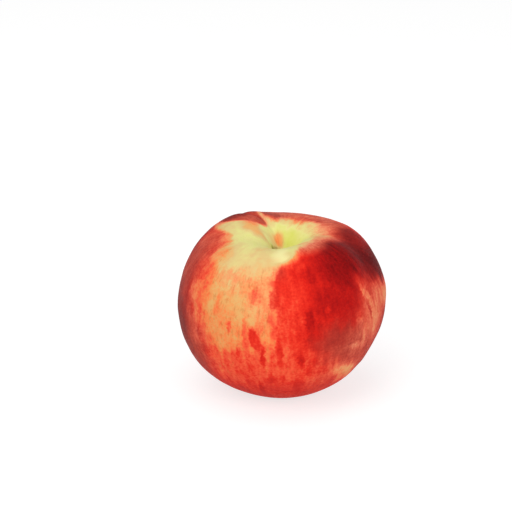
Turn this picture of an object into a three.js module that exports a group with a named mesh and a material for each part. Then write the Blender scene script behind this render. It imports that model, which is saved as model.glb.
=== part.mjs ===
// A ripe peach, whole and unstemmed: one solid, standing on the small flat spot at its base.
// Millimetres, +Z up. The origin is on the surface it stands on, at the middle of its outline.
// The front is -Y: the stem end leans a little that way.
import * as THREE from 'three';

// Driving dimensions of the body.
const HALF_WIDTH = 37.3;          // middle to side, at the waist
const HALF_DEPTH = 37.0;          // middle to front
const SHOULDER_HEIGHT = 30.2;     // waist to the top, before the stem cavity is sunk in it
const BASE_DEPTH = 35.8;          // waist to the blossom end, before the flat spot
const SHOULDER_FULLNESS = 2.55;   // 2 is an ellipse, more is squarer
const BASE_FULLNESS = 1.94;
const STEM_LEAN = 9;              // degrees that the stem end leans to the front
const LEAN_FULL = 20;             // polar angle from the stem up to which the whole lean holds
const LEAN_GONE = 160;            // polar angle from which the base has none of it

// The stem cavity, a funnel whose lip is the top of the peach.
const CAVITY_DEPTH = 15;
const CAVITY_SPREAD = 17;         // degrees from its axis, as seen from the middle of the body
const CAVITY_STEEPNESS = 1.7;

// The flat spot, and the dimple of the blossom end in the middle of it.
const SPOT_HEIGHT = 1.5;          // how much of the round base the flat takes away
const SPOT_ROUNDING = 0.5;
const DIMPLE_DEPTH = 1.2;
const DIMPLE_RADIUS = 4;

// Bearings are in degrees from the front, to the right, and polar angles in degrees from the stem.

// Furrows run outwards from the stem cavity. Half the width of one is narrow at the stem, and grows by
// widening with each radian away from it. It begins at the polar angle start, is deepest at full, and
// is gone at end. Its bearing turns by curl times the polar angle.
const FURROWS = [
  {
    name: 'suture', bearing: -170, curl: 0.65, depth: 2.8, narrow: 1, widening: 1.8,
    start: 10, full: 34, end: 165,
  },
  {
    name: 'right fold', bearing: 125, curl: -0.85, depth: 2.8, narrow: 4, widening: 3,
    start: 0, full: 18, end: 85,
  },
  {
    name: 'left fold', bearing: -80, curl: 0.1, depth: 1.6, narrow: 8, widening: 0,
    start: 0, full: 18, end: 70,
  },
];

// Where the body swells out from its even form, or falls short of it. The spread is in degrees.
const SWELLINGS = [
  { name: 'near lip', bearing: -15, polar: 20, height: -0.9, spread: 10 },
  { name: 'cavity side', bearing: -95, polar: 15, height: 4.8, spread: 11 },
  { name: 'left lobe', bearing: -142, polar: 33, height: 2.1, spread: 16 },
  { name: 'back lobe', bearing: -174, polar: 38, height: -1.8, spread: 16 },
  { name: 'back edge', bearing: 140, polar: 40, height: -1.3, spread: 18 },
  { name: 'back shoulder', bearing: 125, polar: 56, height: 0.7, spread: 14 },
  { name: 'left shoulder', bearing: -92, polar: 62, height: -1.9, spread: 20 },
  { name: 'left flank', bearing: -68, polar: 122, height: 1.0, spread: 24 },
  { name: 'right shoulder', bearing: 88, polar: 52, height: -0.8, spread: 14 },
  { name: 'right waist', bearing: 82, polar: 85, height: 1.1, spread: 20 },
  { name: 'right flank', bearing: 40, polar: 125, height: 0.7, spread: 24 },
];

// Mesh density. The rings crowd towards both ends, where the shape changes fastest.
const SEGMENTS_AROUND = 72;
const RINGS = 56;
const RING_CROWDING = 0.4;

const radians = THREE.MathUtils.degToRad;
const between = THREE.MathUtils.smoothstep;

// The larger of two heights, with a rounded corner where they meet.
function roundedMax(a, b, rounding) {
  const h = Math.max(rounding - Math.abs(a - b), 0) / rounding;
  return Math.max(a, b) + h * h * rounding / 4;
}

// Distance from the middle of the body to its round outer form, in a direction.
function bodyRadius(direction) {
  const across = Math.hypot(direction.x / HALF_WIDTH, direction.y / HALF_DEPTH);
  const isShoulder = direction.z > 0;
  const height = isShoulder ? SHOULDER_HEIGHT : BASE_DEPTH;
  const fullness = isShoulder ? SHOULDER_FULLNESS : BASE_FULLNESS;
  return (across ** fullness + (Math.abs(direction.z) / height) ** fullness) ** (-1 / fullness);
}

// How deep the stem cavity is at a polar angle from the stem.
function cavityAt(polar) {
  return CAVITY_DEPTH * Math.exp(-((polar / radians(CAVITY_SPREAD)) ** CAVITY_STEEPNESS));
}

// How deep one furrow is at a place on the skin.
function furrowAt(furrow, polar, bearing, radius) {
  const turn = bearing - radians(furrow.bearing) - furrow.curl * polar;
  const sideways = radius * Math.sin(polar) * Math.sin(turn);
  const halfWidth = furrow.narrow + furrow.widening * polar;
  const outwards = Math.sqrt(Math.max(Math.cos(turn), 0));
  const deepening = between(polar, radians(furrow.start), radians(furrow.full));
  const fading = 1 - between(polar, radians(furrow.full), radians(furrow.end));
  return furrow.depth * outwards * deepening * fading * Math.exp(-((sideways / halfWidth) ** 2));
}

// The height of one swelling at a place on the skin.
function swellingAt(swelling, stemwise) {
  const polar = radians(swelling.polar);
  const bearing = radians(swelling.bearing);
  const centre = new THREE.Vector3(
    Math.sin(polar) * Math.sin(bearing),
    -Math.sin(polar) * Math.cos(bearing),
    Math.cos(polar),
  );
  const away = centre.angleTo(stemwise) / radians(swelling.spread);
  return swelling.height * Math.exp(-(away ** 2));
}

// The place of one point of the skin, from its direction about the stem axis.
function skinPoint(stemwise) {
  const polar = Math.acos(THREE.MathUtils.clamp(stemwise.z, -1, 1));
  const bearing = Math.atan2(stemwise.x, -stemwise.y);
  const lean = radians(STEM_LEAN) * (1 - between(polar, radians(LEAN_FULL), radians(LEAN_GONE)));
  const direction = stemwise.clone().applyAxisAngle(new THREE.Vector3(1, 0, 0), lean);
  const round = bodyRadius(direction);
  let radius = round - cavityAt(polar);
  for (const furrow of FURROWS) {
    radius -= furrowAt(furrow, polar, bearing, round);
  }
  for (const swelling of SWELLINGS) {
    radius += swellingAt(swelling, stemwise);
  }
  const point = direction.multiplyScalar(radius);
  const flat = SPOT_HEIGHT - BASE_DEPTH;
  point.z = roundedMax(point.z, flat, SPOT_ROUNDING) - flat;
  if (stemwise.z < 0) {
    point.z += DIMPLE_DEPTH * (1 - between(Math.hypot(point.x, point.y), 0, DIMPLE_RADIUS));
  }
  return point;
}

// The closed surface of the peach, from a sphere whose points are moved to the skin.
function peachGeometry() {
  const geometry = new THREE.SphereGeometry(1, SEGMENTS_AROUND, RINGS).rotateX(Math.PI / 2);
  const position = geometry.getAttribute('position');
  const point = new THREE.Vector3();
  for (let i = 0; i < position.count; i++) {
    point.fromBufferAttribute(position, i);
    const evenPolar = Math.acos(THREE.MathUtils.clamp(point.z, -1, 1));
    const polar = evenPolar - RING_CROWDING * Math.sin(2 * evenPolar) / 2;
    const bearing = Math.atan2(point.x, -point.y);
    point.set(
      Math.sin(polar) * Math.sin(bearing),
      -Math.sin(polar) * Math.cos(bearing),
      Math.cos(polar),
    );
    position.setXYZ(i, ...skinPoint(point));
  }
  geometry.computeBoundingBox();
  const middle = geometry.boundingBox.getCenter(new THREE.Vector3());
  geometry.translate(-middle.x, -middle.y, -geometry.boundingBox.min.z);
  geometry.computeVertexNormals();
  return geometry;
}

const skin = new THREE.MeshStandardMaterial({
  name: 'blushed skin',
  color: 0xc83a2a,
  roughness: 0.75,
  metalness: 0,
});

const peach = new THREE.Mesh(peachGeometry(), skin);
peach.name = 'peach';

const part = new THREE.Group();
part.name = 'whole peach';
part.add(peach);

export default part;
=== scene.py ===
"""A ripe peach, whole and unstemmed, standing on the flat spot at its base.

Its skin is laid out by bearing and polar angle. A bearing is in degrees from the front, to the right,
and a polar angle is in degrees from the stem. Lengths are in metres.
"""
import math

import bpy
import numpy as np
from bpy.props import FloatProperty, FloatVectorProperty, PointerProperty
from bpy.types import Operator, Panel, PropertyGroup
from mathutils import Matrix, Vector, noise


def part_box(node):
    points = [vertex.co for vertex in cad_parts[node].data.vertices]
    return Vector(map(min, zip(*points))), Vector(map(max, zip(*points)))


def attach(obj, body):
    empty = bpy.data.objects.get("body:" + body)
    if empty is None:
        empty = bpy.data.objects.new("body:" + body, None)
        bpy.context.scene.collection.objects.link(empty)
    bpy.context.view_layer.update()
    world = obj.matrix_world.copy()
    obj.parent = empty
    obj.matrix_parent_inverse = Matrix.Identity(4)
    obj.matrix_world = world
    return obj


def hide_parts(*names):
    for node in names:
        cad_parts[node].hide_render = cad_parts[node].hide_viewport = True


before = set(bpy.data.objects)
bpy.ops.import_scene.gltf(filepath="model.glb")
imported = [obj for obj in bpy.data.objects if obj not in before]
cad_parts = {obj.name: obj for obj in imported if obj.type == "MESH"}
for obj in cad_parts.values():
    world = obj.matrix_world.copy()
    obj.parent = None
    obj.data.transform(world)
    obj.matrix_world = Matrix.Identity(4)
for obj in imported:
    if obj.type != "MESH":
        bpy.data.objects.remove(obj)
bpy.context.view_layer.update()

bl_info = {
    "name": "Peach",
    "version": (1, 0, 0),
    "blender": (4, 5, 0),
    "location": "3D View > Sidebar > Peach",
    "description": "Dresses a peach's solid in its skin, and sets it on a pale studio floor",
    "category": "Object",
}

LOW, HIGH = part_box("peach")
MM = 0.001

# The middle of the solid's round body, which the skin is laid out from. The stem end leans to the front,
# by the whole of STEM_LEAN up to the polar angle LEAN_FULL, and by none of it from LEAN_GONE.
BODY_MIDDLE = (-0.5 * MM, 0, 34.3 * MM)
STEM_LEAN = 9  # degrees
LEAN_FULL = 20
LEAN_GONE = 160
LEAN_ROUNDS = 4

# Corners of the solid's triangles that are this close are joined, and the mesh is then subdivided.
WELD = 0.01 * MM
SUBDIVISIONS = 2

# The round scar at the foot of the stem cavity. It has a steep wall, and inside it the floor rises to a low
# core, CORE_MARGIN from the wall.
SCAR_RADIUS = 8  # degrees
SCAR_WALL = 0.25 * MM
SCAR_DEPTH = 0.5 * MM
CORE_MARGIN = 0.9 * MM
CORE_HEIGHT = 0.3 * MM

# The suture runs down the back, at a bearing that turns with the polar angle. The crease in its bottom
# has its whole depth from the polar angle CREASE_FULL to CREASE_FADING. Its width is that of one side.
SUTURE_BEARING = -170
SUTURE_CURL = 0.65
CREASE_WIDTH = 1.0 * MM
CREASE_DEPTH = 0.35 * MM
CREASE_START = 14
CREASE_FULL = 30
CREASE_FADING = 142
CREASE_END = 172

# The low hills that the skin rolls in, which fade out between two polar angles. Their height is the most
# that there can be from a hollow to a top.
HILL_SIZE = 9 * MM
HILL_HEIGHT = 0.5 * MM
HILLS_FADING = 130
HILLS_END = 160

# A vertex with less weight than this stays where it is.
LEAST_WEIGHT = 0.01

# The whole way round the stem, as half the width of a patch.
ALL_ROUND = 720

# How far the edges of patches wander round the stem and away from it, and how long their fringes are,
# in degrees. A shift moves the noise that they follow, and a scale makes it finer.
SWAY = (7, 6, 0)
SWAY_SCALE = 8
SWAY_SHIFT = 0.3
FRINGE = 7
FRINGE_SCALE = (18, 18, 3)
FRINGE_SHIFT = 4.7
NOISE_OCTAVES = 3
NOISE_SEED = 41


def spot(name, bearing, polar, across, along, value, cover=1.0, turn=0, soft=0.4, ragged=0.5,
         fringed=True):
    """One painted patch: its middle and half its size in degrees, and the value that it brings.

    cover is how much it hides of what lies below, turn is in degrees, and soft and ragged are its edge.
    A fringed edge runs out in fine streaks towards the stem and the base.
    """
    return name, bearing, polar, across, along, value, cover, turn, soft, ragged, fringed


# How deep the blush is, from 0, none, to 1, wine red. Below 0 the ground turns paler, which is
# painted light on the lip's crest and in the cavity's crease. Later patches lie over earlier ones.
BLUSH_OF_BODY = 0.70
BLUSH = (
    # the back and the sides
    spot("back of the right side", 140, 84, 50, 40, .84, .8, soft=.8),
    spot("back glow", -172, 98, 28, 34, .50, .8, soft=.7, ragged=1),
    spot("back flame", 172, 74, 9, 30, .74, .7, soft=.7, ragged=1),
    spot("left side", -112, 84, 30, 40, .90, .9, soft=.7),
    spot("front", -14, 112, 48, 26, .53, .9, soft=.5, ragged=.6),
    # painted shade: the low front is a deeper red towards the bottom edge, partly the skin's own red and
    # partly painted shade.
    spot("low front", 0, 137, 66, 14, .67, .9, soft=.7, ragged=.6),
    spot("base", 0, 180, ALL_ROUND, 24, .45, .8, soft=.5, ragged=1),
    # the tan side
    spot("tan side", -28, 62, 22, 32, .19, soft=.25, ragged=.6),
    spot("tan side's foot", -32, 86, 17, 13, .29, .9, soft=.5, ragged=.8),
    spot("front's pale strip", -7, 72, 6, 20, .30, .9, soft=.5, ragged=.4),
    spot("tan side's orange", -19, 54, 6, 9, .30, .7, soft=.9, ragged=.8),
    # the left shoulder and flank
    spot("left shoulder", -84, 47.5, 27, 14, .56, soft=.35, ragged=.3, fringed=False),
    spot("left flank", -82, 70, 20, 20, .64, .9, soft=.6),
    spot("left shoulder's rim", -78, 36, 24, 4.5, .38, .8, 5, soft=.8, ragged=.3, fringed=False),
    spot("orange edge", -56, 43, 12, 8, .26, .95, 30, soft=.7, ragged=.3),
    spot("pink flush", -36, 49, 7, 6, .26, .6, soft=.9, ragged=.8),
    spot("coral edge", -60, 66, 6.5, 15, .40, .9, soft=.7, ragged=.4),
    spot("left flank's red", -64, 60, 5, 8, .62, .7, soft=.7),
    # painted shade: the left foot is deep red, partly its own blush and partly painted shade at the limb.
    spot("left foot", -79, 98, 19, 22, .84, .9, soft=.7),
    spot("left lower side", -57, 108, 9, 16, .74, .8, soft=.8),
    spot("lower left edge", -46, 122, 10, 10, .68, .8, -20, soft=.8),
    spot("left flank's orange", -54, 80, 5.5, 20, .38, .65, soft=.8, ragged=.5),
    # round the stem
    spot("crown", 0, 0, ALL_ROUND, 27, .03, soft=.22, ragged=.3, fringed=False),
    spot("left of the crown", -84, 22, 38, 13, .03, soft=.22, ragged=.3, fringed=False),
    spot("behind the left shoulder", -114, 36, 34, 10, .03, 1, -27, soft=.24, ragged=.15, fringed=False),
    spot("below the left lobe", -106, 21, 22, 5, .14, .9, -14, soft=.8, ragged=.3, fringed=False),
    spot("behind the crown", 175, 24, 60, 6, .07, .9, soft=.6, ragged=.3, fringed=False),
    spot("right of the fold", 124, 26, 20, 6, .05, .9, soft=.5, ragged=.3, fringed=False),
    spot("apron", -44, 30, 24, 19, .04, soft=.35, ragged=.4),
    spot("apron's foot", -16, 36, 18, 14, .10, .9, soft=.5, ragged=.5),
    spot("apron's left rim", -58, 42, 9, 5, .30, .7, soft=.8, ragged=.3),
    spot("apron's pink foot", -15, 40, 10, 6, .16, .8, soft=.8, ragged=.6),
    spot("left shoulder's lip", -84, 36, 5, 3.5, .34, .9, soft=.8, ragged=.1, fringed=False),
    # the cheek
    spot("cheek", 26, 58, 29, 21, .68, soft=.12, ragged=.2),
    spot("cheek's corner", 8, 51, 11, 15, .66, soft=.14, ragged=.15),
    spot("cheek's top", 38, 40, 34, 15, .74, soft=.16, ragged=.2, fringed=False),
    spot("cheek's middle", 37, 56, 17, 24, .85, .9, soft=.8),
    spot("cheek's right", 70, 48, 38, 22, .90, soft=.2, ragged=.3, fringed=False),
    spot("cheek's heart", 60, 46, 16, 13, .97, .9, soft=.8),
    spot("cheek's lower edge", 40, 71, 14, 8, .85, .8, soft=.6),
    spot("cheek's light", 20, 63, 5, 2.4, .70, .7, soft=.8),
    spot("cheek's upper light", 15, 42.5, 8, 3, .62, .7, -10, soft=.8),
    spot("cheek's dark middle", 26, 66, 8, 5, .86, .8, soft=.8, ragged=.6),
    spot("lip", 5, 26, 36, 11, .03, 1, -23, soft=.14, ragged=.15, fringed=False),
    # painted highlight: the lip's crest is paler, partly its own pale cream and partly a painted highlight.
    spot("lip's light", 5, 31, 15, 8, -.12, 1, -15, soft=.7, ragged=.1, fringed=False),
    spot("cheek's rim", 40, 30, 22, 4.5, .38, .85, -4, soft=.9, ragged=.2, fringed=False),
    spot("right rim", 110, 29.5, 24, 5.5, .12, .9, -8, soft=.7, ragged=.3, fringed=False),
    # painted sheen: the cheek's crest is paler and pinker, partly its own colour and partly a painted sheen
    # where the ridge turns away.
    spot("cheek's crest", 72, 31.5, 22, 4, .56, .9, 20, soft=.8, ragged=.2, fringed=False),
    spot("cheek's pale rim", 38, 24.3, 24, 3.2, .12, .85, -5, soft=.7, ragged=.2, fringed=False),
    # below the cheek
    spot("front's middle", 4, 75, 8, 13, .58, .9, soft=.5, ragged=.5),
    spot("front's right", 13, 84, 6, 16, .63, .8, soft=.6),
    spot("front's right edge", 20, 80, 4, 14, .78, .8, soft=.7),
    spot("lower left light", -35, 114, 8, 8, .47, .7, soft=.8, ragged=.6),
    spot("lower left red", -24, 115, 6, 6, .60, .7, soft=.8, ragged=.6),
    spot("low red", 7, 123, 9, 4, .64, .8, soft=.8, ragged=.6),
    spot("low light", 6, 115, 3, 4.5, .52, .7, soft=.8, ragged=.6),
    spot("low right light", 25, 118, 4, 6, .52, .7, soft=.8, ragged=.6),
    # the right side
    spot("below the cheek", 34, 88, 18, 10, .76, .9, soft=.6, ragged=.5),
    spot("right side", 46, 104, 18, 12, .58, .9, soft=.7, ragged=.5),
    spot("bruise's pale middle", 55, 92, 10, 9, .47, .8, soft=.8, ragged=.5),
    spot("bruise's foot", 52, 107, 10, 4, .64, .8, 10, soft=.8, ragged=.5),
    spot("bruise's edge", 32, 100, 8, 6, .70, .7, soft=.8, ragged=.5),
    spot("right pale side", 66, 84, 12, 17, .40, .9, -18, soft=.6, ragged=.5),
    spot("right pale top", 59, 68, 5, 8, .64, .8, -25, soft=.8, ragged=.4),
    # painted shade: the right edge is wine red, partly its own deep blush and partly painted shade at the
    # limb.
    spot("right edge", 90, 60, 16, 14, 1, 1, 30, soft=.6, ragged=.4),
    # painted sheen: the grey edge at the right limb is partly the down's sheen, painted.
    spot("grey edge", 82, 94, 11, 15, .80, .95, soft=.8),
    spot("far right", 100, 100, 14, 24, .76, .8, soft=.7),
    spot("cream patch", 82, 81.5, 10, 6, .27, .9, 12, soft=.8, ragged=.4),
    spot("low yellow spot", 45, 118.5, 12, 7, .20, .95, 30, soft=.7, ragged=.4),
    spot("low right", 32, 124, 12, 8, .60, .8, soft=.7),
    # the lobes behind the stem
    spot("back shoulder", 120, 47, 30, 13, .52, .9, 4, soft=.35, ragged=.3, fringed=False),
    spot("back fold", 104, 35, 18, 6, .42, .9, soft=.7, ragged=.3, fringed=False),
    spot("back shoulder's deep side", 98, 50, 18, 10, .92, .9, soft=.6, fringed=False),
    spot("right rim's foot", 84, 27.5, 24, 6, .14, .85, 4, soft=.7, ragged=.2, fringed=False),
    spot("back lobe", 178, 46, 44, 15, .48, .95, soft=.55, ragged=.9),
    spot("back lobe's red", 154, 33, 20, 5.5, .46, .8, soft=.9, ragged=.9, fringed=False),
    spot("left lobe's back", -152, 60, 22, 22, .82, .9, soft=.5),
    spot("left lobe", -136, 34, 20.5, 15, .62, 1, 16, soft=.12, ragged=.04, fringed=False),
    spot("left lobe's top", -132, 38, 17, 8, .86, .8, 22, soft=.7, ragged=.3, fringed=False),
    spot("left lobe's lower edge", -128, 25, 14, 4, .54, .8, -14, soft=.8, ragged=.1, fringed=False),
    spot("suture's far side", -156.5, 33, 2.6, 9, .20, 1, 3, soft=.5, ragged=.04, fringed=False),
    spot("back lobe's band", -169, 33, 10, 7.5, .70, .9, 10, soft=.5, ragged=.2, fringed=False),
    # painted light: paler at the cavity's left edge, to lift the shade in its crease.
    spot("cavity's left edge", -116, 11, 28, 3.5, -.10, .8, soft=.8, ragged=.1, fringed=False),
    spot("cavity blot", -172, 12.8, 22, 3.8, .24, .8, soft=.9, ragged=.2, fringed=False),
    spot("cavity blot's heart", -167, 12.6, 8, 2.2, .36, .75, soft=.9, ragged=.2, fringed=False),
)

# Small marks that lie over the blush.
DABS = (
    # on the tan side
    spot("orange dab", -15.5, 60, 3.6, 6.5, .46, .9, soft=.7, ragged=.5),
    spot("edge dab", -4, 61.5, 3.2, 5.5, .62, .9, soft=.5, ragged=.5),
    spot("lower edge dab", -4.5, 74, 2, 4, .50, .8, soft=.7, ragged=.5),
    spot("left dab", -14, 87, 3.2, 8, .66, 1, -18, soft=.4, ragged=.4),
    spot("left dab's tail", -9.3, 99, 1.3, 7, .72, .9, soft=.5, ragged=.3),
    spot("left dash", -29, 81.5, 1.5, 4, .50, .9, soft=.5, ragged=.3),
    spot("second dash", -20, 80, 1.2, 7, .48, .8, soft=.7, ragged=.3),
    spot("second dash's foot", -19.5, 91, 2.5, 6, .50, .8, soft=.8, ragged=.4),
    spot("fine dash", -38.5, 70, 1.2, 5, .40, .8, soft=.8, ragged=.2),
    spot("third dash", -24, 98, 1, 4, .60, .7, soft=.7, ragged=.3),
    # on the left flank
    spot("left seam", -66, 74, 2.4, 9, .78, .8, soft=.6, ragged=.4),
    spot("orange mark", -56, 51, 2, 1.8, .50, .7, soft=.8),
    spot("left mark", -60, 60, 2.5, 3, .62, .8, soft=.7),
    spot("left lower mark", -58, 82, 2, 5, .66, .8, soft=.7, ragged=.4),
    spot("long hair", -50, 82, .8, 7, .56, .8, soft=.8, ragged=.3),
    spot("left dash below", -50.5, 92, 1.6, 4, .64, .9, soft=.7, ragged=.4),
    spot("left stroke", -47, 106, 2.2, 6, .60, .8, 20, soft=.7, ragged=.4),
    # on the cheek
    spot("corner", 3, 51, 5, 8.5, .67, .9, soft=.2, ragged=.3),
    spot("cheek's small dark spot", 21.8, 49, 2, 4.5, .86, .9, soft=.7),
    spot("cheek's dark dab", 16.8, 75, 2.8, 7, .87, .9, soft=.5, ragged=.5),
    spot("cheek's dark tail", 17.5, 84, 1.6, 5, .80, .8, soft=.6, ragged=.4),
    spot("cheek's pink spot", 22, 76.5, 2.6, 3, .73, .8, soft=.7, ragged=.5),
    spot("cheek's pale fleck", 28, 70, 1.4, 2, .72, .8, soft=.7, ragged=.5),
    # on the front
    spot("front's pale streak", -6.5, 95, 1.6, 8, .37, .8, soft=.6, ragged=.4),
    spot("front's right streak", 4, 95, 2.2, 7, .46, .7, soft=.7, ragged=.4),
    spot("long dab", -0.5, 95, 2, 9, .68, .9, soft=.5, ragged=.35),
    spot("right dab", 12, 102, 2, 5.5, .76, .9, -10, soft=.6, ragged=.4),
    spot("right dab's fellow", 20.5, 103, 1.6, 4, .76, .7, soft=.7, ragged=.4),
    spot("fine right dash", 17, 111, 1.2, 4, .70, .7, soft=.7, ragged=.3),
    spot("low dab", -5.3, 116.5, 2, 4, .67, .9, soft=.6, ragged=.4),
    spot("low dab's tail", -6.6, 122, 1, 3.5, .66, .8, soft=.6, ragged=.3),
    spot("low dash", 2, 116, 1, 4, .70, .8, soft=.7, ragged=.3),
    spot("low left dash", -18.7, 122, 1.2, 4.5, .64, .8, soft=.7, ragged=.3),
    spot("low pale fleck", -15.3, 124, 1.2, 4.5, .50, .7, soft=.7, ragged=.3),
    spot("foot's dab", -13, 131, 2.2, 8, .80, .8, soft=.7, ragged=.3),
    spot("foot's right dab", 13, 127, 3.4, 8, .74, .8, soft=.7, ragged=.3),
    # on the right side
    spot("bright streak", 62, 90, 1.8, 9, .34, .9, -10, soft=.6, ragged=.35),
    spot("bruise's streak", 47, 99, 6, 1.8, .36, .8, 10, soft=.7, ragged=.4),
    spot("pink streak", 57, 72, 1.6, 9, .42, .9, -14, soft=.6, ragged=.4),
    spot("second pink streak", 61, 77, 1.3, 9, .36, .9, -14, soft=.6, ragged=.3),
    spot("dark hair", 58.5, 80, 1, 9, .72, .7, -13, soft=.7, ragged=.3),
    spot("pink fleck", 48.6, 83, 2, 3.5, .52, .8, -10, soft=.7, ragged=.5),
)

# How dull and brown the blush is, from 0 to 1. At the limbs and along the cheek's crest it is partly
# painted sheen of the down, and towards the bottom edge partly painted shade.
DULLNESS_OF_BODY = 0.06
DULLNESS = (
    spot("pink flush", -35, 50, 10, 9, .65, .8, soft=.9),
    spot("apron's pink foot", -14, 42, 13, 9, .85, .8, soft=.8),
    spot("tan side's right", -12, 62, 10, 16, .40, .8, soft=.8),
    spot("bruise", 38, 94, 18, 13, .70, soft=.6, ragged=.6),
    spot("bruise's olive", 50, 101, 15, 12, 1, .9, soft=.7),
    spot("right pale side", 63, 82, 14, 20, .68, .9, soft=.6),
    # painted sheen: grey and dull at the right limb, partly its own colour and partly the down's sheen,
    # painted.
    spot("grey edge", 88, 94, 20, 22, .9, .9, soft=.9),
    # painted sheen: dull towards the left limb, partly the skin's own colour and partly the down's sheen,
    # painted.
    spot("left edge", -88, 64, 24, 28, .90, .9, soft=.7),
    # painted sheen and shade: dull at the lower left limb, partly the skin's own colour and partly painted
    # sheen and shade.
    spot("left foot", -76, 100, 20, 24, 1, .9, soft=.8),
    spot("left lobe", -138, 36, 26, 20, 1, 1, 16, soft=.4, ragged=.2, fringed=False),
    spot("back lobe", 165, 42, 60, 14, .75, soft=.6, fringed=False),
    spot("back lobe's band", -172, 36, 16, 10, 1, .9, soft=.6, fringed=False),
    # painted sheen: dull pink along the cheek's top edge, partly its own colour and partly a painted sheen
    # of the down on the ridge.
    spot("cheek's rim", 52, 28, 34, 8, 1, .95, 3, soft=.6, ragged=.2, fringed=False),
    # painted sheen: dull along the cheek's crest, partly its own colour and partly a painted sheen of the
    # down.
    spot("cheek's crest", 78, 34, 20, 5, .90, .9, 22, soft=.8, ragged=.2, fringed=False),
    spot("back fold", 108, 36, 28, 12, .95, .9, soft=.6, ragged=.2, fringed=False),
    # painted sheen and shade: duller and darker at the right limb, partly its own colour and partly painted
    # sheen and shade.
    spot("right edge", 88, 60, 16, 30, .65, .9, soft=.8),
    # painted shade: duller towards the bottom edge, partly the skin's own colour and partly painted shade.
    spot("low front", 0, 136, 66, 12, .30, .9, soft=.8),
    spot("low left side", -62, 108, 14, 22, .95, .9, soft=.8),
    spot("low right side", 58, 113, 18, 16, .85, .9, soft=.7),
    spot("low right", 34, 121, 14, 13, .50, .8, soft=.8),
)

# What the unblushed ground is, from 0, tan, through .6, cream, and 1, lime, to 1.3, olive.
GROUND_OF_BODY = 0.06
GROUND = (
    spot("crown", 0, 0, ALL_ROUND, 36, .60, soft=.3, ragged=.5, fringed=False),
    spot("apron", -46, 32, 24, 26, .60, .9, soft=.5, ragged=.6),
    spot("apron's foot", -16, 42, 22, 12, .22, .8, soft=.7),
    spot("apron's left edge", -54, 42, 12, 10, .06, .8, 20, soft=.8),
    spot("near lip's left", -20, 30, 12, 6, .30, .8, soft=.8, fringed=False),
    spot("back slope", 175, 27, 60, 6, .30, .8, soft=.8, fringed=False),
    spot("below the left lobe", -104, 21, 26, 6, .02, .95, -14, soft=.8, fringed=False),
    spot("back wall", 145, 15, 32, 6, 1, .9, soft=.9, fringed=False),
    spot("cavity's left wall", -150, 10.5, 30, 3.5, .15, .8, soft=.8, ragged=.1, fringed=False),
    # painted shade: the olive in the cavity's corner is partly the skin's own olive and partly painted
    # shade.
    spot("corner of the cavity", -100, 6, 34, 2.2, 1.3, .9, soft=.7, ragged=.1, fringed=False),
    spot("stem's foot", 0, 0, ALL_ROUND, 5.5, 1.2, .9, soft=.4, ragged=.1, fringed=False),
)

# Where the skin is dry and brown: the scar that the stem leaves, and the tip of the blossom end.
SCARS = (
    spot("stem scar", 0, 0, ALL_ROUND, SCAR_RADIUS, 1, soft=.15, ragged=.1, fringed=False),
    spot("blossom end", 0, 180, ALL_ROUND, 1.6, .9, soft=.4, ragged=.1, fringed=False),
)


def shade(red, green, blue):
    """A colour written as 0 to 255 on the screen's scale, as the linear values that shaders take."""
    def straight(value):
        value /= 255
        return value / 12.92 if value <= 0.04045 else ((value + 0.055) / 1.055) ** 2.4
    return straight(red), straight(green), straight(blue)


# ---------------------------------------------------------------- properties

def colour(name, description, red, green, blue):
    """A colour that the user can change."""
    return FloatVectorProperty(name=name, description=description, subtype="COLOR", size=3,
                               min=0, max=1, default=shade(red, green, blue))


class PeachSkinSettings(PropertyGroup):
    """The finish of the skin"""

    # The olive ground also darkens the cavity's corner, where it is partly painted shade.
    olive_ground_and_shade: colour("Olive ground", "Unblushed skin at the foot of the stem", 122, 116, 52)
    lime_ground: colour("Lime ground", "Unblushed skin inside the stem cavity", 216, 219, 104)
    cream_ground: colour("Cream ground", "Unblushed skin round the stem", 228, 222, 143)
    # The pale ground is partly painted light: a highlight on the lip's crest, and light in the cavity's
    # crease.
    pale_ground_and_painted_light: colour("Pale ground", "Unblushed skin on the lip of the cavity", 242, 234, 166)
    sand_ground: colour("Sand ground", "Unblushed skin below the cream", 226, 196, 132)
    tan_ground: colour("Tan ground", "Unblushed skin on the sunny side", 237, 173, 102)
    pores: colour("Pores", "Small marks on the pale side", 198, 100, 46)
    scar: colour("Scar", "The dry skin where the stem was", 134, 100, 58)
    bark: colour("Bark", "Its paler parts", 176, 146, 96)
    orange_blush: colour("Orange blush", "The first blush over the ground", 252, 138, 76)
    coral_blush: colour("Coral blush", "Half blush", 253, 89, 58)
    scarlet_blush: colour("Scarlet blush", "Strong blush", 242, 52, 33)
    red_blush: colour("Red blush", "Full blush", 221, 29, 18)
    crimson_blush: colour("Crimson blush", "Deep blush", 179, 13, 12)
    wine_blush: colour("Wine blush", "The deepest blush", 112, 2, 6)
    straw_dull: colour("Dull straw", "Dull skin with hardly any blush", 238, 186, 130)
    salmon_dull: colour("Dull salmon", "The first blush where it is dull", 238, 146, 108)
    rose_dull: colour("Dull rose", "Half blush where it is dull", 222, 106, 82)
    brick_dull: colour("Dull brick", "Strong blush where it is dull", 192, 78, 60)
    rust_dull: colour("Dull rust", "Full blush where it is dull", 162, 58, 46)
    brown_dull: colour("Dull brown", "Deep blush where it is dull", 120, 36, 32)
    dark_dull: colour("Dull dark", "The deepest blush where it is dull", 84, 10, 14)
    sheen: FloatProperty(name="Sheen", description="How strongly the down shows at a glancing angle",
                         default=0.06, min=0, max=1, subtype="FACTOR")


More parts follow.
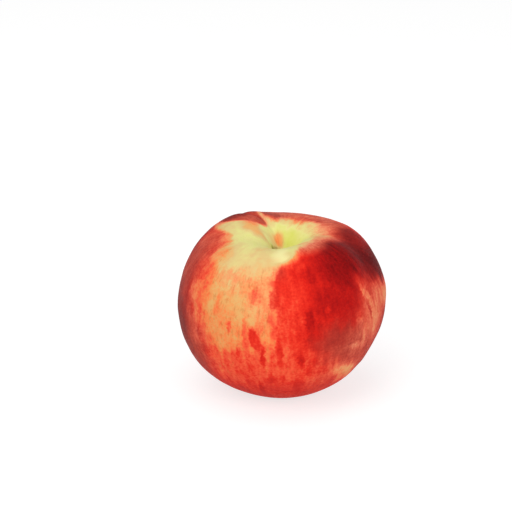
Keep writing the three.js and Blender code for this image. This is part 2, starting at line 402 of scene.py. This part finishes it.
class PeachStageSettings(PropertyGroup):
    """The floor, the lamps and the camera"""

    distance: FloatProperty(name="Camera distance", description="From the middle of the peach",
                            default=0.75, min=0.2, unit="LENGTH")
    elevation: FloatProperty(name="Camera elevation", description="Above the horizon",
                             default=math.radians(22), unit="ROTATION")
    key_power: FloatProperty(name="Key power", description="Power of the lamp at the front left",
                             default=4.6, min=0, unit="POWER")
    fill_power: FloatProperty(name="Fill power", description="Power of the lamp at the front right",
                              default=4.4, min=0, unit="POWER")
    top_power: FloatProperty(name="Top power", description="Power of the lamp above",
                             default=2.8, min=0, unit="POWER")
    surroundings: FloatProperty(name="Surroundings", description="Even light from all sides",
                                default=0.44, min=0)


# ---------------------------------------------------------------- helpers for meshes

def alone(piece):
    """Makes one object the only selected one, and the active one."""
    bpy.ops.object.select_all(action="DESELECT")
    piece.select_set(True)
    bpy.context.view_layer.objects.active = piece


def apply_modifier(piece, kind, **settings):
    """Adds a modifier, sets it up and applies it."""
    alone(piece)
    modifier = piece.modifiers.new(kind.title(), kind)
    for name, value in settings.items():
        setattr(modifier, name, value)
    bpy.ops.object.modifier_apply(modifier=modifier.name)


def displace(piece, name, weights, **settings):
    """Moves each vertex in or out along its normal, as far as its weight lets it."""
    weighed = piece.vertex_groups.new(name=name)
    for vertex in np.flatnonzero(weights > LEAST_WEIGHT).tolist():
        weighed.add([vertex], weights[vertex], "REPLACE")
    apply_modifier(piece, "DISPLACE", vertex_group=name, **settings)
    piece.vertex_groups.clear()


def vertex_places(piece):
    """The places of all vertices, as an array of rows."""
    places = np.empty(len(piece.data.vertices) * 3)
    piece.data.vertices.foreach_get("co", places)
    return places.reshape(-1, 3)


def rising(values, start, full):
    """How far each value has come from start to full, as a share from 0 to 1."""
    return np.clip((values - start) / (full - start), 0, 1)


def eased(share):
    """A share from 0 to 1 that leaves 0 and comes to 1 gently."""
    return share * share * (3 - 2 * share)


def within_half_turn(degrees):
    """Angles brought to between -180 and 180 degrees."""
    return (degrees + 180) % 360 - 180


def compass_of(side):
    """The bearing and the polar angle of each direction, in degrees."""
    bearing = np.degrees(np.arctan2(side[:, 0], -side[:, 1]))
    return bearing, np.degrees(np.arccos(np.clip(side[:, 2], -1, 1)))


def stem_sides(places):
    """Unit directions from the body's middle, turned so that +Z is along the stem."""
    out = places - np.array(BODY_MIDDLE)
    out /= np.linalg.norm(out, axis=1, keepdims=True)
    turned = out.copy()
    # The lean goes by the polar angle that it leads to, so it is found in a few rounds.
    for _ in range(LEAN_ROUNDS):
        polar = compass_of(turned)[1]
        lean = -np.radians(STEM_LEAN) * (1 - eased(rising(polar, LEAN_FULL, LEAN_GONE)))
        turned[:, 1] = out[:, 1] * np.cos(lean) - out[:, 2] * np.sin(lean)
        turned[:, 2] = out[:, 1] * np.sin(lean) + out[:, 2] * np.cos(lean)
    return turned


def wandering(places, shift):
    """Smooth noise at each place, three numbers of about -1 to 1, with finer noise added to it."""
    total = np.zeros((len(places), 3))
    for octave in range(NOISE_OCTAVES):
        at = places * 2 ** octave + shift
        total += np.array([noise.noise_vector(point) for point in at.tolist()]) / 2 ** octave
    return total


# ---------------------------------------------------------------- the shape of the skin

def sink_scar(piece):
    """Sinks the round scar that the stem leaves, with a low core in its middle."""
    alone(piece)
    middles = np.empty(len(piece.data.polygons) * 3)
    piece.data.polygons.foreach_get("center", middles)
    polar = compass_of(stem_sides(middles.reshape(-1, 3)))[1]
    bpy.ops.object.mode_set(mode="EDIT")
    bpy.ops.mesh.select_mode(type="FACE")
    bpy.ops.mesh.select_all(action="DESELECT")
    bpy.ops.object.mode_set(mode="OBJECT")
    piece.data.polygons.foreach_set("select", polar < SCAR_RADIUS)
    bpy.ops.object.mode_set(mode="EDIT")
    lean = math.radians(STEM_LEAN)
    for width, rise in ((SCAR_WALL, -SCAR_DEPTH), (CORE_MARGIN, CORE_HEIGHT)):
        bpy.ops.mesh.inset(thickness=width)
        bpy.ops.transform.translate(value=(0, -rise * math.sin(lean), rise * math.cos(lean)))
    bpy.ops.mesh.select_all(action="SELECT")
    bpy.ops.mesh.normals_make_consistent(inside=False)
    bpy.ops.object.mode_set(mode="OBJECT")


def crease_suture(piece):
    """Presses the fine line of the suture into the bottom of its furrow."""
    places = vertex_places(piece)
    bearing, polar = compass_of(stem_sides(places))
    turn = np.radians(within_half_turn(bearing - SUTURE_BEARING - SUTURE_CURL * polar))
    away = np.linalg.norm(places - np.array(BODY_MIDDLE), axis=1) * np.sin(np.radians(polar)) * turn
    depth = np.exp(-((away / CREASE_WIDTH) ** 2)) * rising(polar, CREASE_START, CREASE_FULL)
    depth *= rising(polar, CREASE_END, CREASE_FADING)
    displace(piece, "suture", depth, mid_level=0.0, strength=-CREASE_DEPTH)


def roll_skin(piece):
    """Lets the skin roll a little, as that of a fruit does, but not where it stands."""
    polar = compass_of(stem_sides(vertex_places(piece)))[1]
    hills = bpy.data.textures.new("skin_hills", "CLOUDS")
    hills.noise_scale = HILL_SIZE
    hills.noise_depth = 1
    displace(piece, "above the base", rising(polar, HILLS_END, HILLS_FADING), texture=hills,
             texture_coords="LOCAL", mid_level=0.5, strength=HILL_HEIGHT)


# ---------------------------------------------------------------- the paint on the skin

def painted(bearing, polar, sway, fringe, start, spots):
    """A number for each point of the skin: start, with the spots laid over it in their order."""
    value = np.full(len(polar), start)
    for _, middle, down, across, along, brings, cover, turn, soft, ragged, fringed in spots:
        sideways = within_half_turn(bearing - middle + ragged * sway[:, 0])
        downwards = polar - down + ragged * (sway[:, 1] + (fringe if fringed else 0))
        turned = math.radians(turn)
        inside = np.hypot((sideways * math.cos(turned) + downwards * math.sin(turned)) / across,
                          (downwards * math.cos(turned) - sideways * math.sin(turned)) / along)
        value += (brings - value) * cover * eased(rising(inside, 1 + soft, 1 - soft))
    return value


def paint_skin(piece):
    """Gives each vertex its direction from the stem, its blush, dullness and ground, and its scar."""
    side = stem_sides(vertex_places(piece))
    bearing, polar = compass_of(side)
    noise.seed_set(NOISE_SEED)
    sway = wandering(side * SWAY_SCALE, SWAY_SHIFT) * SWAY
    around = np.column_stack((np.cos(np.radians(bearing)), np.sin(np.radians(bearing)),
                              np.radians(polar)))
    fringe = wandering(around * FRINGE_SCALE, FRINGE_SHIFT)[:, 0] * FRINGE
    attributes = piece.data.attributes
    attributes.new("stem_side", "FLOAT_VECTOR", "POINT").data.foreach_set("vector", side.ravel())
    for name, start, spots in (("blush", BLUSH_OF_BODY, BLUSH), ("dullness", DULLNESS_OF_BODY, DULLNESS),
                               ("ground", GROUND_OF_BODY, GROUND), ("scar", 0.0, SCARS)):
        values = painted(bearing, polar, sway, fringe, start, spots)
        attributes.new(name, "FLOAT", "POINT").data.foreach_set("value", values)


# ---------------------------------------------------------------- helpers for shaders

def feed(tree, node, inputs):
    """Gives each of a node's sockets a value, or links it to another node's output."""
    for socket, value in inputs.items():
        if isinstance(value, bpy.types.NodeSocket):
            tree.links.new(value, node.inputs[socket])
        else:
            node.inputs[socket].default_value = value


def add(tree, kind, inputs=None, **settings):
    """Adds a shader node, sets it up and feeds it."""
    node = tree.nodes.new("ShaderNode" + kind)
    for name, value in settings.items():
        setattr(node, name, value)
    feed(tree, node, inputs or {})
    return node


def number_of(tree, operation, *values):
    """The result of a Math node."""
    return add(tree, "Math", dict(enumerate(values)), operation=operation).outputs[0]


def times(tree, first, *others):
    """The product of numbers."""
    for other in others:
        first = number_of(tree, "MULTIPLY", first, other)
    return first


def vector_of(tree, operation, *values):
    """The result of a Vector Math node."""
    made = add(tree, "VectorMath", dict(enumerate(values)), operation=operation)
    return made.outputs["Value" if operation == "LENGTH" else "Vector"]


# A Mix node takes numbers at its sockets 2 and 3, and colours at 6 and 7. Its third output is the colour.
def blended(tree, factor, first, second):
    """A colour between two colours."""
    return add(tree, "Mix", {0: factor, 6: first, 7: second}, data_type="RGBA").outputs[2]


def mixed(tree, factor, first, second):
    """A number between two numbers."""
    return add(tree, "Mix", {0: factor, 2: first, 3: second}).outputs[0]


def graded(tree, value, low, high, to_low=0.0, to_high=1.0, smooth=True):
    """A number moved from one range to another."""
    ranges = {"Value": value, "From Min": low, "From Max": high, "To Min": to_low, "To Max": to_high}
    return add(tree, "MapRange", ranges,
               interpolation_type="SMOOTHSTEP" if smooth else "LINEAR").outputs["Result"]


def ramp(tree, factor, settings, stops):
    """The settings' colours along a ramp."""
    node = add(tree, "ValToRGB", {0: factor})
    band = node.color_ramp
    for index, (at, tint) in enumerate(stops):
        stop = band.elements[index] if index < 2 else band.elements.new(at)
        stop.position = at
        stop.color = (*getattr(settings, tint), 1)
    return node.outputs[0]


def group(name, takes, gives):
    """A new shader node group with named inputs and outputs, and its two end nodes."""
    tree = bpy.data.node_groups.new(name, "ShaderNodeTree")
    for socket, kind in takes.items():
        tree.interface.new_socket(socket, in_out="INPUT", socket_type="NodeSocket" + kind)
    for socket, kind in gives.items():
        tree.interface.new_socket(socket, in_out="OUTPUT", socket_type="NodeSocket" + kind)
    return tree, tree.nodes.new("NodeGroupInput").outputs, tree.nodes.new("NodeGroupOutput").inputs


def place(tree, made, inputs):
    """Places a node group in a material, feeds it, and gives its outputs."""
    node = tree.nodes.new("ShaderNodeGroup")
    node.node_tree = made
    feed(tree, node, inputs)
    return node.outputs


# ---------------------------------------------------------------- node groups

def compass_group():
    """Bearing and polar angle of a direction, and the place for patterns from the stem to the base."""
    tree, takes, gives = group("Compass", {"Direction": "Vector"},
                               {"Bearing and polar": "Vector", "Polar": "Float", "Around": "Vector"})
    side = vector_of(tree, "NORMALIZE", takes["Direction"])
    parts = add(tree, "SeparateXYZ", {0: side}).outputs
    polar = number_of(tree, "ARCCOSINE", parts["Z"])
    bearing = number_of(tree, "ARCTAN2", parts["X"], times(tree, parts["Y"], -1))
    degrees = [number_of(tree, "DEGREES", value) for value in (bearing, polar)]
    both = add(tree, "CombineXYZ", {"X": degrees[0], "Y": degrees[1]}).outputs[0]
    level = vector_of(tree, "NORMALIZE", vector_of(tree, "MULTIPLY", side, (1, 1, 0)))
    flat = add(tree, "SeparateXYZ", {0: level}).outputs
    around = add(tree, "CombineXYZ", {"X": flat["X"], "Y": flat["Y"], "Z": polar}).outputs[0]
    for socket, value in (("Bearing and polar", both), ("Polar", degrees[1]), ("Around", around)):
        tree.links.new(value, gives[socket])
    return tree


def fibres_group():
    """Noise drawn out along the lines from the stem to the base, from -1 to 1."""
    tree, takes, gives = group(
        "Fibres", {"Around": "Vector", "Across": "Float", "Along": "Float", "Detail": "Float",
                   "Seed": "Float"}, {"Value": "Float"})
    scale = add(tree, "CombineXYZ", {"X": takes["Across"], "Y": takes["Across"],
                                     "Z": takes["Along"]}).outputs[0]
    drawn_out = vector_of(tree, "MULTIPLY", takes["Around"], scale)
    grain = add(tree, "TexNoise", {"Vector": drawn_out, "W": takes["Seed"], "Scale": 1.0,
                                   "Detail": takes["Detail"], "Roughness": FIBRE_ROUGHNESS},
                noise_dimensions="4D").outputs[0]
    tree.links.new(graded(tree, grain, *FIBRE_RANGE, -1, 1, smooth=False), gives["Value"])
    return tree


def patch_group():
    """How much of a place is inside one patch."""
    tree, takes, gives = group(
        "Patch", {"Place": "Vector", "Warp": "Vector", "Middle": "Vector", "Size": "Vector",
                  "Turn": "Vector", "Softness": "Float", "Raggedness": "Float"}, {"Mask": "Float"})
    shifted = add(tree, "VectorMath", {0: takes["Warp"], 1: takes["Raggedness"], 2: takes["Place"]},
                  operation="MULTIPLY_ADD").outputs[0]
    # Bearings go round, and polar angles don't.
    from_middle = vector_of(tree, "WRAP", vector_of(tree, "SUBTRACT", shifted, takes["Middle"]),
                            (180, ALL_ROUND, ALL_ROUND), (-180, -ALL_ROUND, -ALL_ROUND))
    inside = add(tree, "Mapping", {"Vector": from_middle, "Rotation": takes["Turn"],
                                   "Scale": takes["Size"]}, vector_type="TEXTURE").outputs[0]
    away = vector_of(tree, "LENGTH", inside)
    outer = number_of(tree, "ADD", 1, takes["Softness"])
    inner = number_of(tree, "SUBTRACT", 1, takes["Softness"])
    tree.links.new(graded(tree, away, outer, inner), gives["Mask"])
    return tree


def dabbed(tree, compass, warp, value, spots):
    """A number over the skin with spots laid over it, one node group each."""
    patch = patch_group()
    for name, bearing, polar, across, along, brings, cover, turn, soft, ragged, _ in spots:
        mask = place(tree, patch, {
            "Place": compass["Bearing and polar"], "Warp": warp, "Middle": (bearing, polar, 0),
            "Size": (across, along, 1), "Turn": (0, 0, math.radians(turn)),
            "Softness": soft, "Raggedness": ragged})["Mask"]
        mask.node.label = name
        value = mixed(tree, times(tree, mask, cover), value, brings)
    return value


# ---------------------------------------------------------------- skin

# Fibres are drawn out from the stem to the base. The numbers of one are its scale across its lines and
# along them, its detail and its seed.
STREAKS = (17, 4, 3, 5)
PORES = (46, 16, 1, 7)
GROUND_STREAKS = (14, 5, 2, 13)
FIBRE_ROUGHNESS = 0.55
FIBRE_RANGE = (0.25, 0.75)

# Mottles are even. The numbers of one are its scale, its detail and its seed.
BLOTCHES = (9, 3, 2)
DOTS = (42, 2, 4)
PORE_PATCHES = (14, 1, 19)
FLUSHES = (13, 3, 23)
GROUND_BLOTCHES = (15, 3, 29)
BARK = (45, 2, 17)
ROUGH_PATCHES = (40, 2, 8)
DOWN = (70, 3, 11)
MOTTLE_RANGE = (0.3, 0.7)

# How strongly each of them changes the blush, the ground or the skin's colour.
STREAK_STRENGTH = 0.10
BLOTCH_STRENGTH = 0.05
DOT_STRENGTH = 0.065
FLUSH_STRENGTH = 0.05
PORE_STRENGTH = 0.38
GROUND_STREAK_STRENGTH = 0.12
GROUND_BLOTCH_STRENGTH = 0.09

# Where they show, and where the ground does: ranges of the blush's depth, and one of the polar angle at
# the cavity's edge, each from none to all. DEEP_SHARE is how much of the streaks a deep blush keeps.
BLUSH_BEGINS = (0.02, 0.26)
BLUSH_DEEPENS = (0.55, 0.80)
DEEP_SHARE = 0.45
PALE_SIDE_BEGINS = (0.03, 0.22)
PALE_SIDE_ENDS = (0.72, 0.36)
CAVITY_EDGE = (14, 28)
# The palest ground, below a blush of 0, is partly painted light.
PALEST_GROUND = (0.0, -0.15)
BLUSH_HIDES_GROUND = (0.06, 0.20)

# Where the noise of the pores, of their patches and of the bark begins to tell and where it tells wholly,
# and the share of the pores that is left between the patches.
PORE_CUT = (0.0, 0.8)
PORE_PATCH_CUT = (-0.6, 0.5)
FEWEST_PORES = 0.25
BARK_CUT = (-0.8, 0.8)

# How far the edges of the dabs wander, in degrees, and the noise that they follow, with its middle.
DAB_SWAY = (14, 10, 0)
DAB_SWAY_NOISE = {"Scale": 22.0, "Detail": 3.0, "Roughness": 0.6}
NOISE_MIDDLE = (0.5, 0.5, 0.5)

# The ground's value at which it is all olive, and the colours on the way there, each with its share of it.
OLIVE = 1.3
GROUND_COLOURS = ((0.00, "tan_ground"), (0.20, "sand_ground"), (0.46, "cream_ground"),
                  (0.77, "lime_ground"), (1.00, "olive_ground_and_shade"))

# The colours of the blush by its depth, bright and dull.
BRIGHT_COLOURS = ((0.16, "tan_ground"), (0.34, "orange_blush"), (0.50, "coral_blush"),
                  (0.62, "scarlet_blush"), (0.74, "red_blush"), (0.86, "crimson_blush"),
                  (1.00, "wine_blush"))
DULL_COLOURS = ((0.16, "straw_dull"), (0.32, "salmon_dull"), (0.46, "rose_dull"), (0.60, "brick_dull"),
                (0.72, "rust_dull"), (0.86, "brown_dull"), (1.00, "dark_dull"))

# The finish.
ROUGHNESS = (0.62, 0.78)
SPECULAR = 0.07
SHEEN_ROUGHNESS = 0.35
SHEEN_TINT = (1, 0.85, 0.85, 1)
DOWN_STRENGTH = 0.25
DOWN_HEIGHT = 0.15 * MM


def streaked(tree, level, polar, fibre, mottle):
    """The blush with fine streaks, blotches and dots in it.

    They show most in a middling blush, less where there is little or much of it, and not in the cavity.
    """
    lively = times(tree, graded(tree, level, *BLUSH_BEGINS),
                   graded(tree, level, *BLUSH_DEEPENS, 1, DEEP_SHARE), graded(tree, polar, *CAVITY_EDGE))
    for pattern, strength in ((fibre(*STREAKS), STREAK_STRENGTH), (mottle(*BLOTCHES), BLOTCH_STRENGTH),
                              (mottle(*DOTS), DOT_STRENGTH)):
        level = number_of(tree, "ADD", level, times(tree, pattern, times(tree, lively, strength)))
    return level


def skin_colour(tree, settings, level, pale, dull, green):
    """The ground, with the blush over it."""
    ground = ramp(tree, number_of(tree, "DIVIDE", green, OLIVE), settings, GROUND_COLOURS)
    # Below a blush of 0 the pale ground comes in, partly painted light on the lip's crest and in the
    # cavity's crease.
    ground = blended(tree, pale, ground, (*settings.pale_ground_and_painted_light, 1))
    bright = ramp(tree, level, settings, BRIGHT_COLOURS)
    brown = ramp(tree, level, settings, DULL_COLOURS)
    blush = blended(tree, dull, bright, brown)
    return blended(tree, graded(tree, level, *BLUSH_HIDES_GROUND), ground, blush)


def skin_material(settings):
    """Downy skin: a pale ground under a blush in patches, streaks and specks."""
    material = bpy.data.materials.new("downy_skin")
    material.use_nodes = True
    tree = material.node_tree
    principled = tree.nodes["Principled BSDF"]
    side = add(tree, "Attribute", attribute_name="stem_side").outputs["Vector"]
    compass = place(tree, compass_group(), {"Direction": side})
    fibres = fibres_group()

    def fibre(across, along, detail, seed):
        return place(tree, fibres, {"Around": compass["Around"], "Across": across, "Along": along,
                                    "Detail": detail, "Seed": seed})["Value"]

    def mottle(scale, detail, seed):
        made = add(tree, "TexNoise", {"Vector": side, "W": seed, "Scale": scale, "Detail": detail},
                   noise_dimensions="4D").outputs[0]
        return graded(tree, made, *MOTTLE_RANGE, -1, 1, smooth=False)

    level, dull, green, scar = (add(tree, "Attribute", attribute_name=name).outputs["Fac"]
                                for name in ("blush", "dullness", "ground", "scar"))
    sway = add(tree, "TexNoise", {"Vector": side, **DAB_SWAY_NOISE}).outputs["Color"]
    sway = vector_of(tree, "MULTIPLY", vector_of(tree, "SUBTRACT", sway, NOISE_MIDDLE), DAB_SWAY)
    level = dabbed(tree, compass, sway, level, DABS)
    # pale is where the painted light of the lip's crest and the cavity's crease turns the ground paler.
    pale = graded(tree, level, *PALEST_GROUND)
    level = streaked(tree, level, compass["Polar"], fibre, mottle)

    # Brown pores, flushes and greenish streaks lie over the pale side.
    on_pale = times(tree, graded(tree, level, *PALE_SIDE_BEGINS), graded(tree, level, *PALE_SIDE_ENDS))
    pores = times(tree, graded(tree, fibre(*PORES), *PORE_CUT), on_pale,
                  graded(tree, mottle(*PORE_PATCHES), *PORE_PATCH_CUT, FEWEST_PORES, 1))
    flushes = times(tree, mottle(*FLUSHES), on_pale, FLUSH_STRENGTH)
    level = number_of(tree, "ADD", level, flushes)
    for pattern in (times(tree, fibre(*GROUND_STREAKS), times(tree, on_pale, GROUND_STREAK_STRENGTH)),
                    times(tree, mottle(*GROUND_BLOTCHES), GROUND_BLOTCH_STRENGTH)):
        green = number_of(tree, "ADD", green, pattern)

    skin = skin_colour(tree, settings, level, pale, dull, green)
    skin = blended(tree, times(tree, pores, PORE_STRENGTH), skin, (*settings.pores, 1))
    bark = blended(tree, graded(tree, mottle(*BARK), *BARK_CUT), (*settings.scar, 1), (*settings.bark, 1))
    skin = blended(tree, scar, skin, bark)
    bump = add(tree, "Bump", {"Strength": DOWN_STRENGTH, "Distance": DOWN_HEIGHT, "Height": mottle(*DOWN)})
    feed(tree, principled, {
        "Base Color": skin, "Roughness": graded(tree, mottle(*ROUGH_PATCHES), -1, 1, *ROUGHNESS),
        "Specular IOR Level": SPECULAR, "Sheen Weight": settings.sheen,
        "Sheen Roughness": SHEEN_ROUGHNESS, "Sheen Tint": SHEEN_TINT, "Normal": bump.outputs[0]})
    return material


class PEACH_OT_skin(Operator):
    """Lays the finished skin over the peach's solid"""

    bl_idname = "peach.skin"
    bl_label = "Skin"

    def execute(self, context):
        skin = bpy.data.objects.new("peach_skin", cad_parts["peach"].data.copy())
        context.scene.collection.objects.link(skin)
        skin.data.materials.clear()
        alone(skin)
        bpy.ops.object.mode_set(mode="EDIT")
        bpy.ops.mesh.select_all(action="SELECT")
        bpy.ops.mesh.customdata_custom_splitnormals_clear()
        bpy.ops.mesh.remove_doubles(threshold=WELD)
        bpy.ops.mesh.tris_convert_to_quads()
        bpy.ops.object.mode_set(mode="OBJECT")
        sink_scar(skin)
        apply_modifier(skin, "SUBSURF", levels=SUBDIVISIONS, render_levels=SUBDIVISIONS)
        crease_suture(skin)
        roll_skin(skin)
        alone(skin)
        bpy.ops.object.shade_smooth()
        paint_skin(skin)
        skin.data.materials.append(skin_material(context.scene.peach_skin))
        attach(skin, "root")
        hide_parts("peach")
        return {"FINISHED"}


# ---------------------------------------------------------------- stage

WHITE = (1, 1, 1, 1)
FLOOR_SIZE = 6
FLOOR_ROUGHNESS = 0.9
FLOOR_SPECULAR = 0.1

# The floor's grey where it lights the peach, its darker grey where it is seen, and how much it glows there.
# The glow makes it white, apart from the peach's shadow.
FLOOR_GREY = (0.85, 0.85, 0.85, 1)
FLOOR_GREY_SEEN = (0.42, 0.42, 0.42, 1)
FLOOR_GLOW = 0.70

# Where each lamp is, its width and its tint.
LAMPS = {
    "key": ((-0.45, -0.75, 0.80), 0.8, (1, 0.985, 0.96)),
    "fill": ((0.75, -0.75, 0.30), 0.9, (1, 1, 1)),
    "top": ((-0.10, -0.10, 1.00), 0.8, (1, 1, 1)),
}

# The camera's sensor and lens, in millimetres, how far it looks above the peach's middle and to the left of
# it, and the nearest that it sees.
SENSOR_WIDTH = 36
LENS = 145.5
AIM_ABOVE = math.radians(1.34219)
AIM_LEFT = math.radians(0.70855)
NEAREST = 0.01


def floor_material():
    """A pale floor, which is white where it is seen."""
    material = bpy.data.materials.new("pale_floor")
    material.use_nodes = True
    tree = material.node_tree
    paths = add(tree, "LightPath").outputs
    seen = number_of(tree, "MAXIMUM", paths["Is Camera Ray"], paths["Is Glossy Ray"])
    seen = number_of(tree, "MAXIMUM", seen, paths["Is Transmission Ray"])
    feed(tree, tree.nodes["Principled BSDF"], {
        "Base Color": blended(tree, seen, FLOOR_GREY, FLOOR_GREY_SEEN), "Roughness": FLOOR_ROUGHNESS,
        "Specular IOR Level": FLOOR_SPECULAR, "Emission Color": WHITE,
        "Emission Strength": times(tree, seen, FLOOR_GLOW)})
    return material


def lamp(name, position, width, tint, power, aim):
    """A square soft lamp that points at a place."""
    light = bpy.data.lights.new(name, "AREA")
    light.shape = "SQUARE"
    light.size = width
    light.energy = power
    light.color = tint
    holder = bpy.data.objects.new(name, light)
    holder.location = position
    holder.rotation_euler = (aim - Vector(position)).to_track_quat("-Z", "Y").to_euler()
    bpy.context.scene.collection.objects.link(holder)


class PEACH_OT_stage(Operator):
    """Sets up the pale floor, the soft lamps and the camera"""

    bl_idname = "peach.stage"
    bl_label = "Stage"

    def execute(self, context):
        settings = context.scene.peach_stage
        scene = context.scene
        scene.view_settings.view_transform = "Standard"
        bpy.ops.object.select_all(action="DESELECT")
        bpy.ops.mesh.primitive_plane_add(size=FLOOR_SIZE)
        floor = context.object
        floor.name = "floor"
        floor.data.materials.append(floor_material())

        world = bpy.data.worlds.new("studio")
        scene.world = world
        world.use_nodes = True
        background = world.node_tree.nodes["Background"]
        feed(world.node_tree, background, {"Color": WHITE, "Strength": settings.surroundings})

        middle = (LOW + HIGH) / 2
        powers = {"key": settings.key_power, "fill": settings.fill_power, "top": settings.top_power}
        for name, (position, width, tint) in LAMPS.items():
            lamp(name, position, width, tint, powers[name], middle)

        camera = bpy.data.objects.new("camera", bpy.data.cameras.new("camera"))
        scene.collection.objects.link(camera)
        elevation = settings.elevation
        away = Vector((0, -math.cos(elevation), math.sin(elevation)))
        camera.location = middle + settings.distance * away
        # A camera that looks down has to turn further about the upright to look as far aside.
        camera.rotation_euler = (math.pi / 2 - elevation + AIM_ABOVE, 0, AIM_LEFT / math.cos(elevation))
        camera.data.sensor_width = SENSOR_WIDTH
        camera.data.lens = LENS
        camera.data.clip_start = NEAREST
        scene.camera = camera
        return {"FINISHED"}


# ---------------------------------------------------------------- the add-on

class PEACH_PT_panel(Panel):
    """The peach's operators and settings"""

    bl_idname = "PEACH_PT_panel"
    bl_label = "Peach"
    bl_space_type = "VIEW_3D"
    bl_region_type = "UI"
    bl_category = "Peach"

    def draw(self, context):
        for operator in (PEACH_OT_skin, PEACH_OT_stage):
            self.layout.operator(operator.bl_idname)
        for settings in (context.scene.peach_skin, context.scene.peach_stage):
            for name in settings.__annotations__:
                self.layout.prop(settings, name)


CLASSES = (PeachSkinSettings, PeachStageSettings, PEACH_OT_skin, PEACH_OT_stage, PEACH_PT_panel)


def register():
    for made in CLASSES:
        bpy.utils.register_class(made)
    bpy.types.Scene.peach_skin = PointerProperty(type=PeachSkinSettings)
    bpy.types.Scene.peach_stage = PointerProperty(type=PeachStageSettings)


def unregister():
    del bpy.types.Scene.peach_stage
    del bpy.types.Scene.peach_skin
    for made in reversed(CLASSES):
        bpy.utils.unregister_class(made)


def main():
    register()
    bpy.ops.peach.skin()
    bpy.ops.peach.stage()


if __name__ == "__main__":
    main()
